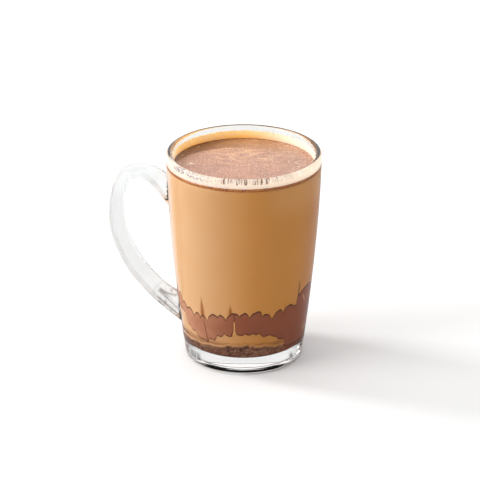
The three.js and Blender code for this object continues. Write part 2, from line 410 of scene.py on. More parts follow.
def spun(outline, steps, closed=False):
    """An outline of radius and height, spun round Z: an eighth of a turn, doubled three times."""
    bm = bmesh.new()
    verts = [bm.verts.new((radius, 0, z)) for radius, z in outline]
    pairs = list(zip(verts, verts[1:]))
    if closed:
        pairs.append((verts[-1], verts[0]))
    edges = [bm.edges.new(pair) for pair in pairs]
    turn = math.tau / 8
    bmesh.ops.spin(bm, geom=verts + edges, cent=(0, 0, 0), axis=(0, 0, 1), dvec=(0, 0, 0),
                   angle=turn, steps=steps // 8, use_merge=False, use_duplicate=False)
    for _ in range(3):
        copied = bmesh.ops.duplicate(bm, geom=bm.verts[:] + bm.edges[:] + bm.faces[:])
        moving = [item for item in copied["geom"] if isinstance(item, bmesh.types.BMVert)]
        bmesh.ops.rotate(bm, verts=moving, cent=(0, 0, 0), matrix=Matrix.Rotation(turn, 3, "Z"))
        turn *= 2
    bmesh.ops.remove_doubles(bm, verts=bm.verts, dist=1e-5)
    bmesh.ops.recalc_face_normals(bm, faces=bm.faces)
    return bm


def finished(bm, name, material, smooth_shading=True):
    """Turns a bmesh in millimetres into an object in metres, with its material."""
    bmesh.ops.transform(bm, matrix=Matrix.Scale(MM, 4), verts=bm.verts)
    mesh = bpy.data.meshes.new(name)
    bm.to_mesh(mesh)
    bm.free()
    for polygon in mesh.polygons:
        polygon.use_smooth = smooth_shading
    mesh.materials.append(material)
    piece = bpy.data.objects.new(name, mesh)
    bpy.context.scene.collection.objects.link(piece)
    return piece


def applied(piece, modifiers):
    """Adds modifiers to a piece, applies them all and gives the piece its new mesh."""
    for kind, settings in modifiers:
        modifier = piece.modifiers.new(kind.lower(), kind)
        for name, value in settings.items():
            setattr(modifier, name, value)
    graph = bpy.context.evaluated_depsgraph_get()
    mesh = bpy.data.meshes.new_from_object(piece.evaluated_get(graph), depsgraph=graph)
    piece.modifiers.clear()
    piece.data = mesh
    return piece


# The layers' wavy edges

def back_lobes():
    """Lobes between the last one in front and the first, at uneven widths and heights."""
    first = FRONT_LOBES[-1][0] + BACK_LOBES_START
    width = (FRONT_LOBES[0][0] + 360 - first) / BACK_LOBES
    lobes = []
    for i in range(BACK_LOBES):
        notch = first + width * (i + 0.14 * math.sin(i * 2.4))
        level, following = (BACK_LOBE_LEVEL + BACK_LOBE_SWAY * math.sin(k * k) for k in (i, i + 1))
        lobes.append((notch, level, notch + width * (0.48 + 0.1 * math.sin(i * 5)),
                      max(level, following) + BACK_LOBE_RISE + 0.6 * math.sin(i * 3)))
    return lobes


TOP_LOBES = FRONT_LOBES + back_lobes()


def lobed(lobes, bearing, roundness):
    """Height of an edge of lobes at a bearing: sharp at each notch, round at each crest."""
    bearing = wrapped(bearing, lobes[0][0])
    following = [*lobes[1:], (lobes[0][0] + 360, lobes[0][1], 0, 0)]
    for (notch, notch_z, crest, crest_z), (end, end_z, _, _) in zip(lobes, following):
        if bearing < crest:
            share = (bearing - notch) / (crest - notch)
            return lerp(notch_z, crest_z, math.sin(max(share, 0) * math.pi / 2) ** roundness)
        if bearing < end:
            share = (end - bearing) / (end - crest)
            return lerp(end_z, crest_z, math.sin(max(share, 0) * math.pi / 2) ** roundness)
    return lobes[0][1]


def remembered(edge):
    """Keeps an edge's heights, because every row of a layer asks for the same bearings."""
    heights = {}

    def at(bearing):
        key = round(bearing, 3)
        if key not in heights:
            heights[key] = edge(key)
        return heights[key]
    return at


def wave(bearing, height, count, start=0):
    """A small ripple: its height, how many go round, and where it starts, in degrees."""
    return height * math.sin(math.radians(bearing * count + start))


@remembered
def band_top(bearing):
    return lobed(TOP_LOBES, bearing, 0.6) + wave(bearing, 0.12, 61) + wave(bearing, 0.1, 97, 50)


@remembered
def band_foot(bearing):
    return lobed(FOOT_LOBES, bearing, 0.65) + wave(bearing, 0.14, 53, 10) + wave(bearing, 0.1, 89)


def sediment_top(bearing):
    swell = 3 * math.exp(-((wrapped(bearing, -180) / 28) ** 2))
    level = bpy.context.scene.mocha_drink.sediment / MM
    return level + swell + wave(bearing, 0.3, 19, 20) + wave(bearing, 0.12, 41)


def froth_edge(bearing):
    level = bpy.context.scene.mocha_drink.surface / MM
    return level + FROTH_EDGE_RISE + FROTH_EDGE_TILT * math.cos(math.radians(bearing))


def froth_top(bearing, share):
    level = bpy.context.scene.mocha_drink.surface / MM
    return lerp(level, froth_edge(bearing), smooth(share, 0.93, 1))


def layer(form, foot, top, reach, side_rows, face_rings, steps=720, ease=1):
    """A layer of drink between two faces, each a height for a bearing and a share of the radius.

    An ease above 1 draws the side's rows together at the foot, where the glass's corner is round.
    """
    inner = [i / face_rings for i in range(face_rings)]
    outline = [(share, 0) for share in inner]
    outline += [(1, (i / side_rows) ** ease) for i in range(side_rows + 1)]
    outline += [(share, 1) for share in reversed(inner)]
    bm = spun(outline, steps)
    below_top = bm.verts.layers.float.new("below_top")
    above_foot = bm.verts.layers.float.new("above_foot")
    for vert in bm.verts:
        share = min(math.hypot(vert.co.x, vert.co.y), 1.0)
        bearing = math.degrees(math.atan2(vert.co.x, -vert.co.y)) if share > 1e-4 else 0.0
        height = vert.co.z
        edge = lerp(foot(bearing, 1), top(bearing, 1), height)
        z = lerp(foot(bearing, share), top(bearing, share), height)
        radius = share * form.cavity(edge, reach)
        angle = math.radians(bearing)
        vert.co = (radius * math.sin(angle), -radius * math.cos(angle), z)
        vert[below_top] = top(bearing, 1) - edge
        vert[above_foot] = edge - foot(bearing, 1)
    return bm


def calm(edge, level, start=0.55):
    """A face whose wavy edge dies out towards the middle."""
    def face(bearing, share):
        if share <= start:
            return level
        return lerp(level, edge(bearing), smooth(share, start, 1))
    return face


def moved(face, rise):
    return lambda bearing, share: face(bearing, share) + rise


# Materials. Bearings are in degrees, and heights, radii and widths in millimetres

GLASS_IOR = 1.5

# Flares of chocolate that rise into the latte: bearing, width at the tip, how fast they widen below
# it, height of the tip, heights between which they come up to strength, and strength
FLARES = [
    (-40.4, 0.4, 0.19, 44.5, 46, 38, 1),
    (-12.1, 0.4, 0.26, 42.5, 43.5, 38.5, 1),
    (39.5, 0.7, 0, 42, 42, 37, 0.8),
]


def painted_base_shade(net, at):
    """Painted shade: a dark contact line at the heel, and grey smears in the thick base beside it, standing
    in for refracted shade.
    """
    uneven = net.grain(at.point, 0.16, 2)
    sides = net.rise(net.maths("ABSOLUTE", at.side), 0.55, 0.85)
    upper = 3.8 - sides * 1.2
    # Painted contact shadow along the heel
    heel = net.rise(at.z, 1.1, 1.4) * net.rise(at.z + uneven * 1.2, upper, upper - 0.4)
    heel = heel * net.rise(at.radius, 27, 28) * (1 - sides * 0.5)
    streaks = net.grain(net.joined(at.bearing * 0.3, at.z * 0.03, 0), 1.0, 2)
    # Painted refraction shade: grey smears at the left and right of the base
    left = net.span(at.bearing, -79, -72, -49, -43) * net.rise(streaks, 0.4, 0.56)
    left = left * net.span(at.z, 3.2, 4.6, 7.2, 9)
    right = net.hump(at.bearing + at.z * 0.5, 54.5, 2.8) * net.hump(at.z, 6, 2)
    right = right + net.hump(at.bearing, 69, 3) * net.hump(at.z, 8, 1.8)
    return net.limited(heel + (left * 0.6 + right * 0.8) * net.rise(at.radius, 29, 30))


def painted_handle_folds(net, at):
    """Painted dark lines and a painted spot where the handle's tail and its two roots fold the light."""
    along = (at.x + 50) * 0.714 - (at.z - 32.5) * 0.7
    across = (at.x + 50) * 0.7 + (at.z - 32.5) * 0.714
    broken = net.rise(net.grain(at.point, 0.5, 2), 0.5, 0.6)
    tail = net.hump(across, 3.9, 0.6) + net.hump(across, 2.1, 0.9) * broken
    tail = tail * net.rise(along, 0, 2.5) * net.rise(at.x, -30, -33)
    fold = net.hump((at.x + 48.2) * 0.9 - (at.z - 34.7) * 0.44, 0, 0.5) * net.hump(at.z, 35.2, 2.4)
    # Painted shade spot at the lower root
    painted_root_spot = net.hump(at.x + 38.6 + (at.z - 39.3) * 0.5, 0, 0.8) * net.hump(at.z, 39.3, 1.6)
    upper = net.hump(at.x + 47 - (at.z - 94) * 1.1, 0, 0.5) * net.hump(at.z, 93, 2.4)
    return net.limited(tail + (fold + painted_root_spot + upper) * 0.5)


def dull_glass(net, tint, *coats):
    """Glass without reflections: one shader for each colour, mixed as a painted colour would be."""
    dull = net.plain("ShaderNodeBsdfRefraction", tint, Roughness=0.0, IOR=GLASS_IOR)
    for share, coat in coats:
        under = net.plain("ShaderNodeBsdfRefraction", coat, Roughness=0.0, IOR=GLASS_IOR)
        dull = net.mixed(share, dull, under)
    return dull


def glass_material():
    """Clear glass: duller round the drink, with painted shade where the glass folds the light: dark edges,
    a lip line, and lines and smears in the base and handle.
    """
    material, net = new_net("clear_glass")
    mug = bpy.context.scene.mocha_mug
    form = Form()
    at = net.place()
    in_base = net.rise(at.z, 9.5, 6.5) * net.rise(at.radius, 37, 34)
    facing = net.wire("ShaderNodeLayerWeight", None, {"Blend": 0.5}, "Facing")
    # Painted dark edges: greyer where the glass is seen edge-on
    grazing = net.rise(facing, 0.7, 1.0) * 0.55
    # Painted dark line along the back of the lip
    inner = form.rim - 1.1 - net.rise(at.y, 15, 38) * 1.1
    lip = net.rise(at.z, form.height - 1.2, form.height - 0.5) * net.rise(at.radius - inner, -0.5, 0)
    back_lip = lip * net.rise(at.y, 2, 20) * 0.95
    # Painted shade in the base and painted dark lines on the handle, where the glass folds the light
    marks = painted_base_shade(net, at)
    folds = painted_handle_folds(net, at)
    coats = [(grazing, (0.3, 0.3, 0.3)), (back_lip, (0.12, 0.13, 0.14)), (marks, (0.004, 0.003, 0.003))]
    colour = net.painted(net.blend(in_base, mug.tint, mug.base_tint),
                         (net.rise(at.x, -43, -56), mug.handle_tint), *coats, (folds, (0.1, 0.075, 0.06)))
    glossy = net.surface(Base_Color=colour, Roughness=0.0, IOR=GLASS_IOR, Transmission_Weight=1.0)
    outer = form.rim - (form.rim - form.foot) * net.maths("POWER", 1 - at.z / form.height, form.power)
    from_wall = at.radius - outer
    round_drink = net.span(at.z, 9, 12, 110.8, 112.5) * net.rise(from_wall, 0.3, 0.1)
    quiet = net.limited(round_drink * 0.6 + marks * 0.9 + back_lip * 0.8)
    solid = net.mixed(quiet, glossy, dull_glass(net, mug.tint, *coats))
    rays = net.node("ShaderNodeLightPath")
    shadow, diffuse = (Wire(net, rays.outputs[name]) for name in ("Is Shadow Ray", "Is Diffuse Ray"))
    foot_shade = net.rise(at.z, 3.2, 1.2) * net.rise(at.radius, 25, 27) * 0.9
    passes = net.maths("MAXIMUM", shadow, diffuse) * (1 - foot_shade)
    bend = net.rise(at.x, -46, -50) * net.rise(at.z, 90, 97)
    in_handle = net.rise(from_wall, 0.2, 2) * (0.26 + bend * 0.4) * (1 - folds)
    passes = net.maths("MAXIMUM", passes, in_handle)
    net.finish(net.mixed(passes, solid, net.plain("ShaderNodeBsdfTransparent", (0.93, 0.94, 0.94))))
    return material


def milky_colour(net, at):
    """Milky coffee with painted light and shade: paler on the lit handle's side, deeper and more golden on
    the other.
    """
    drink = bpy.context.scene.mocha_drink
    cloud = net.grain(at.point, 0.06, 3)
    return net.painted(
        # Painted light: paler on the handle's side, where the light falls
        net.blend(net.rise(at.side, -0.85, 0.3), drink.latte_lit_side, drink.latte),
        # Painted reflection: a pale strip at the edge by the handle
        (net.rise(at.side, -0.93, -1.0) * 0.8, (0.86, 0.68, 0.6)),
        # Painted shade: deeper amber at the far edge
        (net.rise(at.side, 0.72, 0.99), (0.59, 0.23, 0.06)),
        # Painted light: lighter and more golden high up on the far side
        (net.rise(at.z, 86, 103) * net.rise(at.side, 0.1, 0.7) * 0.42, (0.8, 0.42, 0.17)),
        (net.rise(cloud, 0.3, 0.7) * 0.12, (0.58, 0.24, 0.06)))


def chocolate_colour(net, at):
    """Chocolate milk, paler on the handle's side as painted light, with darker clouds."""
    drink = bpy.context.scene.mocha_drink
    cloud = net.grain(at.point, 0.12, 3)
    # Painted light: paler on the handle's side, where the light falls
    plain = net.blend(net.rise(at.side, -0.98, 0.05), drink.chocolate_lit_side, drink.chocolate)
    darker = [channel * 0.75 for channel in drink.chocolate]
    return net.blend(net.rise(cloud, 0.35, 0.7) * 0.3, plain, darker)


def latte_material():
    """Milky coffee, with flares of chocolate above the band, uneven darkening near its foot, specks at its
    top, and painted shade below the band.
    """
    material, net = new_net("milky_coffee")
    drink = bpy.context.scene.mocha_drink
    at = net.place()
    above = net.rise(at.z, 27, 28)
    flare = 0
    for bearing, width, spread, tip, faint, full, strength in FLARES:
        shape = net.hump(at.bearing, bearing, width + (tip - at.z) * spread)
        flare = shape * net.rise(at.z, faint, full) * strength + flare
    line = net.hump(at.bearing, 55.9, 0.95) * net.rise(at.z, 52, 46) * above
    # Darker and browner near the foot, unevenly
    darker_near_foot = net.rise(at.z + net.grain(at.point, 0.35, 3, 1.5) * 4, 21.5, 19)
    froth_foot = (drink.surface - drink.froth) / MM + FROTH_EDGE_RISE - at.y / at.radius * FROTH_EDGE_TILT
    ragged = at.z - froth_foot + net.grain(at.point, 1.3, 2) * 1.1
    specks = net.rise(ragged, 0.1, 0.4) * net.rise(at.z, 106, 106.5)
    colour = net.painted(
        milky_colour(net, at),
        (net.limited(flare * above) * 0.95, (0.32, 0.075, 0.003)),
        (net.limited(line) * 0.9, (0.12, 0.025, 0.003)),
        (darker_near_foot * 0.6, (0.24, 0.06, 0.015)),
        # Painted shade: a little darker below the band
        (net.rise(at.z, 28, 27) * 0.14, (0.25, 0.1, 0.04)),
        (specks * 0.8, (0.4, 0.1, 0.012)))
    net.finish(net.surface(Base_Color=colour, Roughness=0.6, Specular_IOR_Level=0.0))
    return material


def chocolate_material():
    """Chocolate milk with a dark outline, a crease, a tongue of latte and pale slivers in it."""
    material, net = new_net("chocolate_milk")
    at = net.place()
    edge = net.rise(net.attribute("below_top"), 0.95, 0.45)
    edge = net.maths("MAXIMUM", edge, net.rise(net.attribute("above_foot"), 0.8, 0.35) * 0.8)
    below_notch = 32.2 - at.z
    crease = net.hump(at.bearing, below_notch * 0.22 - 39.9, 0.35 + below_notch * 0.03)
    width = 0.8 + net.rise(at.z, 27, 23.5) * 1.3
    tongue = net.maths("ABSOLUTE", at.bearing + 8.8) / width + net.rise(at.z, 31, 32.6)
    sliver = net.hump(at.bearing + (at.z - 38) * 1.1, 65.7, 1.5) * net.hump(at.z, 38, 3.2)
    sliver = sliver + net.hump(at.bearing, 73.4, 3.5) * net.hump(at.z, 18.7, 1.2)
    colour = net.painted(
        chocolate_colour(net, at),
        (edge * 0.95, (0.03, 0.006, 0.002)),
        (net.limited(crease * net.rise(at.z, 33.5, 32)) * 0.8, (0.15, 0.03, 0.008)),
        (net.rise(tongue, 1.65, 1.3), (0.09, 0.02, 0.006)),
        (net.rise(tongue, 1.05, 0.85), milky_colour(net, at)),
        (net.rise(sliver, 0.35, 0.75) * 0.8, (0.55, 0.27, 0.13)))
    net.finish(net.surface(Base_Color=colour, Roughness=0.6, Specular_IOR_Level=0.0))
    return material


def sediment_material():
    """Settled syrup: slanting strokes on the left, curls on the right, and latte mixed into its top."""
    material, net = new_net("settled_syrup")
    drink = bpy.context.scene.mocha_drink
    at = net.place()
    strokes = net.joined(at.bearing * 0.13, (at.z + at.bearing * 0.13) * 0.8, at.radius * 0.05)
    swirl = net.grain(strokes, 1.0, 3, 1.2)
    loops = net.grain(at.point, 0.42, 3, 3.0)
    stirred = swirl + (loops - swirl) * net.rise(at.bearing, -18, 8)
    curls = net.grain(at.point, 0.3, 3, 2.2)
    from_band = net.rise(at.bearing, 50, 40) + net.rise(at.bearing, 108, 116)
    fine = net.grain(net.joined(at.x * 0.19, at.y * 0.19, at.z * 0.34), 1.0, 2, 2.6)
    depth = net.attribute("below_top") + (net.grain(at.point, 0.4, 3, 1.0) - 0.5) * 2
    shade = net.hump(depth, 2.6, 1.1) * net.span(at.bearing, -34, -12, 28, 46)
    colour = net.painted(
        net.blend(net.rise(stirred, 0.35, 0.55), drink.dark, (0.3, 0.082, 0.036)),
        (net.hump(stirred, 0.57, 0.03) * 0.8, (0.5, 0.25, 0.14)),
        (net.hump(curls, 0.43, 0.05) * 0.75, (0.09, 0.024, 0.012)),
        (net.hump(curls, 0.53, 0.028) * 0.85, (0.66, 0.36, 0.23)),
        (net.span(at.bearing, 38, 48, 106, 116), chocolate_colour(net, at)),
        (net.rise(at.bearing, 14, -8) * 0.42, drink.dark),
        (net.hump(at.bearing, 29, 11) * 0.25, (0.42, 0.19, 0.11)),
        (net.limited(net.hump(fine, 0.43, 0.035) * from_band) * 0.8, (0.022, 0.005, 0.002)),
        (net.limited(net.hump(fine, 0.52, 0.022) * from_band) * 0.62, (0.6, 0.27, 0.15)),
        (shade * 0.6, (0.08, 0.025, 0.012)),
        (net.rise(depth, 2.2, -0.1) * 0.9, milky_colour(net, at)))
    net.finish(net.surface(Base_Color=colour, Roughness=0.5, Specular_IOR_Level=0.0))
    return material


def froth_material():
    """Wet froth: golden streaks, pale wisps at the right, cocoa specks and the rim's shadow at the back."""
    material, net = new_net("cocoa_speckled_froth")
    drink = bpy.context.scene.mocha_drink
    at = net.place()
    speck = net.grain(at.point, 1.0, 3)
    cloud = net.grain(at.point, 0.11, 4, 1.0)
    across = net.joined(at.x * 0.13, at.y * 0.42, 0)
    streak = net.rise(net.grain(across, 1.0, 6, 0.9), 0.44, 0.66)
    middle = net.hump(at.y, 15, 16) * net.hump(at.x, 2, 24)
    rim = net.rise(at.y, 10, 24) * net.rise(at.radius, 35.8, 36.8)
    wisp = net.rise(net.grain(at.point, 0.32, 5, 1.8), 0.52, 0.62)
    bow = net.hump(at.radius, 29.5, 4) * 0.95 * net.span(at.bearing, 30, 60, 125, 150)
    spots = net.rise(net.grain(at.point, 0.16, 2), 0.62, 0.72) * 0.6
    uneven = net.rise(net.grain(across, 1.5, 4, 1.0), 0.75, 0.35)
    from_lit_spot = net.length(at.x + 3, at.y + 12) + uneven * 0.6
    shadow = net.rise(from_lit_spot, 35.6, 36.7) * (0.3 + net.rise(at.x, 6, -24) * 0.6)
    shadow = net.limited(shadow * net.rise(at.x, 30, 12) * (0.8 + uneven * 0.35))
    coarse = net.rise(net.grain(at.point, 1.1, 2), 0.38, 0.62)
    colour = net.painted(
        drink.cocoa,
        (net.rise(cloud, 0.35, 0.65) * 0.6, (0.31, 0.125, 0.068)),
        (net.limited(streak * middle * 1.5) * 0.7, (0.74, 0.4, 0.19)),
        (net.rise(at.y, 12, 26) * 0.42, (0.58, 0.26, 0.1)),
        (net.rise(at.x, -12, -34) * 0.35, (0.26, 0.095, 0.045)),
        (rim * 0.65, (0.19, 0.06, 0.015)),
        (net.limited(wisp * (bow + spots)) * 0.75, (0.9, 0.72, 0.52)),
        (net.rise(at.x, 8, 33) * 0.42, (0.25, 0.1, 0.055)),
        (net.rise(speck, 0.54, 0.66) * 0.42, (0.9, 0.66, 0.48)),
        (net.rise(speck, 0.46, 0.34) * 0.5, (0.2, 0.07, 0.035)),
        (shadow * 0.85, (0.13, 0.042, 0.01)),
        (net.rise(at.radius, 37.15, 37.4), net.blend(coarse, (0.27, 0.055, 0.002), (0.62, 0.19, 0.01))))
    bump = net.wire("ShaderNodeBump", None, {"Height": speck, "Strength": 0.35, "Distance": 0.0005})
    net.finish(net.surface(Base_Color=colour, Roughness=0.35, Normal=bump,
                           Coat_Weight=(1 - shadow * 0.85) * 0.45, Coat_Roughness=0.16))
    return material


def foam_edge(bearing):
    """Height that the foam film reaches: highest in front."""
    in_front = smooth(math.cos(math.radians(bearing)), 0.1, 0.8)
    return bpy.context.scene.mocha_drink.foam_top / MM + 0.7 * in_front


def foam_material():
    """A thin film with a painted glow: cream in front and golden behind as painted light and shade, with
    brown teeth and grey curls, fading upwards.
    """
    material, net = new_net("milk_foam")
    drink = bpy.context.scene.mocha_drink
    at = net.place()
    golden = net.blend(net.rise(at.z, 111.5, 108.6), (1.0, 0.8, 0.42), (0.92, 0.53, 0.13))
    cream = net.blend(net.rise(at.z, 111, 108.8) * 0.32, drink.foam, (0.92, 0.68, 0.46))
    # Painted light and shade: golden behind, where the film is shaded and warmed by light from the coffee,
    # cream in front
    behind = net.rise(at.y, 0, 18) * net.rise(at.x, 32, -4)
    mottled = net.rise(net.grain(at.point, 0.7, 3), 0.42, 0.62) * net.rise(at.x, 5, -12)
    strokes = net.grain(net.joined(at.bearing * 0.55, at.z * 0.15, 0), 1.0, 3)
    groups = net.rise(net.grain(net.joined(at.bearing * 0.12, 4, 0), 1.0, 1), 0.36, 0.46)
    teeth = net.rise(strokes, 0.48, 0.56) * groups * net.rise(at.z + strokes * 1.5, 112.5, 113.0)
    teeth = teeth * net.span(at.bearing, -20, -16, 38, 48) * (0.3 + net.rise(at.bearing, 26, 19) * 0.7)
    smears = net.rise(strokes, 0.5, 0.62) * net.span(at.bearing, 28, 45, 70, 90)
    dashes = net.grain(net.joined(at.bearing * 0.7, at.z * 1.1, 0), 1.0, 2, 1.5)
    curls = net.rise(dashes, 0.47, 0.56) * net.span(at.bearing, -78, -68, -31, -24)
    curls = curls * net.hump(at.z, 112.2, 0.75)
    colour = net.painted(
        net.blend(behind, cream, golden),
        (mottled * 0.5, (0.66, 0.5, 0.46)),
        (teeth * 0.95, (0.2, 0.06, 0.018)),
        (smears * 0.1, (0.6, 0.42, 0.32)),
        (curls * 0.9, (0.15, 0.1, 0.12)))
    # Painted glow: the film gives off light in its own colour
    film = net.surface(Base_Color=colour, Roughness=0.45, Emission_Color=colour, Emission_Strength=0.36)
    # Painted light: the light let through is golden behind and cream in front
    lit_through = net.mixed(behind, net.plain("ShaderNodeBsdfTranslucent", (0.98, 0.84, 0.69)),
                            net.plain("ShaderNodeBsdfTranslucent", (0.96, 0.66, 0.26)))
    marks = net.limited(teeth + curls + mottled * 0.3)
    foam = net.mixed((1 - marks) * 0.5, film, lit_through)
    front = net.rise(-at.y / at.radius, 0.1, 0.8)
    streaks = net.joined(at.x * 0.9, at.y * 0.9, at.z * 0.25)
    fade = net.rise(at.z - front * 0.6 + (net.grain(streaks, 1.0, 3) - 0.5) * 4, 113.2, 112.2)
    net.finish(net.mixed(fade, net.plain("ShaderNodeBsdfTransparent", (1, 1, 1)), foam))
    return material


def bubble_material():
    """Glossy skin of a bubble, in two browns."""
    material, net = new_net("froth_bubble")
    at = net.place()
    tone = net.rise(net.grain(at.point, 0.8, 2), 0.35, 0.65)
    colour = net.blend(tone, (0.55, 0.3, 0.17), (0.85, 0.62, 0.42))
    net.finish(net.surface(Base_Color=colour, Roughness=0.12, Coat_Weight=0.6, Coat_Roughness=0.05))
    return material


def floor_material():
    material, net = new_net("pale_floor")
    colour = rgba(bpy.context.scene.mocha_stage.floor_colour)
    net.finish(net.surface(Base_Color=colour, Roughness=0.9, Specular_IOR_Level=0.1))
    return material


# The stage

def looking(origin, target):
    direction = Vector(target) - Vector(origin)
    return direction.to_track_quat("-Z", "Y").to_euler()


class MOCHA_OT_stage(bpy.types.Operator):
    """Adds the camera, the pale floor and the soft light."""
    bl_idname = "mocha.stage"
    bl_label = "Stage"

    def execute(self, context):
        scene = context.scene
        stage = scene.mocha_stage
        camera = bpy.data.objects.new("camera", bpy.data.cameras.new("camera"))
        camera.data.lens = stage.lens
        camera.data.sensor_width = 36
        camera.data.clip_end = 20
        camera.location = stage.eye
        camera.rotation_euler = looking(stage.eye, stage.target)
        scene.collection.objects.link(camera)
        scene.camera = camera
        bm = bmesh.new()
        bmesh.ops.create_circle(bm, cap_ends=True, segments=96, radius=stage.floor_size / MM)
        floor = finished(bm, "floor", floor_material(), smooth_shading=False)
        self.light(scene, "back_left", stage.back_power, (-112, 38), 2.4, 0.5)
        self.light(scene, "side_left", stage.side_power, (-72, 26), 2.4, 1.3)
        self.surround(scene, stage)
        scene.view_settings.view_transform = "Standard"
        return {"FINISHED"}

    def light(self, scene, name, power, direction, distance, size):
        """A square soft light at a bearing and an angle above the floor, both in degrees."""
        bearing, height = (math.radians(angle) for angle in direction)
        flat = distance * math.cos(height)
        place = (flat * math.sin(bearing), -flat * math.cos(bearing), distance * math.sin(height))
        data = bpy.data.lights.new(name, "AREA")
        data.shape = "SQUARE"
        data.size = size
        data.energy = power
        light = bpy.data.objects.new(name, data)
        light.location = place
        light.rotation_euler = looking(place, (0, 0, 0.05))
        scene.collection.objects.link(light)

    def surround(self, scene, stage):
        """A white world: darker in front below the mug's top, dimmer at the right, bright behind."""
        world = bpy.data.worlds.new("white_studio")
        world.use_nodes = True
        scene.world = world
        net = Net(world.node_tree)
        x, y, z = net.split(net.wire("ShaderNodeTexCoord", output="Generated"))
        dark_front = net.rise(-y, 0.35, 0.9) * net.rise(z, 0.8, 0.35)
        bright = net.rise(z, 0.45, 0.95) * 0.75 + net.rise(y, 0.3, 0.8) * 0.55
        dim_right = net.rise(x, 0.2, 0.9) * net.rise(z, 0.9, 0.3)
        strength = (1 - dark_front * 0.75 - dim_right * 0.22 + bright) * stage.surround
        light = net.wire("ShaderNodeBackground", None, {"Color": (1, 1, 1, 1), "Strength": strength})
        net.node("ShaderNodeOutputWorld", None, {"Surface": light})


# The glass mug

def mug_outline(form):
    """Radius and height round the glass cup: underside with its shallow hollow, side, lip and hollow."""
    lip = form.wall / 2
    fillet_top = form.floor + form.fillet
    heel = 2.5
    outline = [(radius, UNDERSIDE) for radius in (0, 8, 16, 19)]
    outline += [(19.5 + 0.5 * i, UNDERSIDE) for i in range(11)]
    outline += [(25.4, 0.58), (26.4, 0.48), (27.4, 0.32), (28.2, 0.16), (28.8, 0.05)]
    outline += arc(form.outer(heel) - heel, heel, heel, -90, 0, 10)
    outline += rows(heel, form.height - lip, form.outer, 44)[1:-1]
    outline += arc(form.rim - lip, form.height - lip, lip, 0, 180, 16)
    outline += rows(form.height - lip, fillet_top, form.cavity, 40)[1:-1]
    corner = [fillet_top - form.fillet * math.sin(math.radians(90 * i / 18)) for i in range(19)]
    outline += [(form.cavity(z), z) for z in corner]
    outline += [(18, form.floor), (9, form.floor), (0, form.floor)]
    return outline


def knot_curve(points, steps):
    """Centripetal Catmull-Rom through points, each a Vector, at an even number of steps a span."""
    ends = [points[0] * 2 - points[1], *points, points[-1] * 2 - points[-2]]
    curve = []
    for i in range(1, len(ends) - 2):
        p0, p1, p2, p3 = ends[i - 1:i + 3]
        t1 = (p1 - p0).length ** 0.5
        t2 = t1 + (p2 - p1).length ** 0.5
        t3 = t2 + (p3 - p2).length ** 0.5
        for step in range(steps):
            t = lerp(t1, t2, step / steps)
            a1 = p0.lerp(p1, t / t1)
            a2 = p1.lerp(p2, (t - t1) / (t2 - t1))
            a3 = p2.lerp(p3, (t - t2) / (t3 - t2))
            b1 = a1.lerp(a2, t / t2)
            b2 = a2.lerp(a3, (t - t1) / (t3 - t1))
            curve.append(b1.lerp(b2, (t - t1) / (t2 - t1)))
    return [*curve, points[-1]]


def handle_mesh(form):
    """Rounded sections along the handle's middle line, bridged one to the next and closed at the ends."""
    middle = knot_curve([Vector((x, thick, z)) for x, z, thick in HANDLE_LINE], 7)
    bm = bmesh.new()
    loops = []
    corners = 48
    squareness = 3.4
    for i, knot in enumerate(middle):
        before = middle[max(i - 1, 0)]
        after = middle[min(i + 1, len(middle) - 1)]
        along = Vector((after.x - before.x, 0, after.z - before.z)).normalized()
        across = Vector((along.z, 0, -along.x))
        made = bmesh.ops.create_circle(bm, cap_ends=False, segments=corners, radius=1)
        for vert in made["verts"]:
            angle = math.atan2(vert.co.y, vert.co.x)
            cosine = math.cos(angle)
            sine = math.sin(angle)
            swell = (abs(cosine) ** squareness + abs(sine) ** squareness) ** (-1 / squareness)
            thick = knot.y / 2 * swell * cosine
            wide = form.handle_width / 2 * swell * sine
            vert.co = Vector((knot.x, 0, knot.z)) + across * thick + Vector((0, wide, 0))
        loops.append(list({edge for vert in made["verts"] for edge in vert.link_edges}))
    for first, second in zip(loops, loops[1:]):
        bmesh.ops.bridge_loops(bm, edges=first + second)
    bmesh.ops.holes_fill(bm, edges=loops[0] + loops[-1], sides=corners)
    bmesh.ops.recalc_face_normals(bm, faces=bm.faces)
    return bm


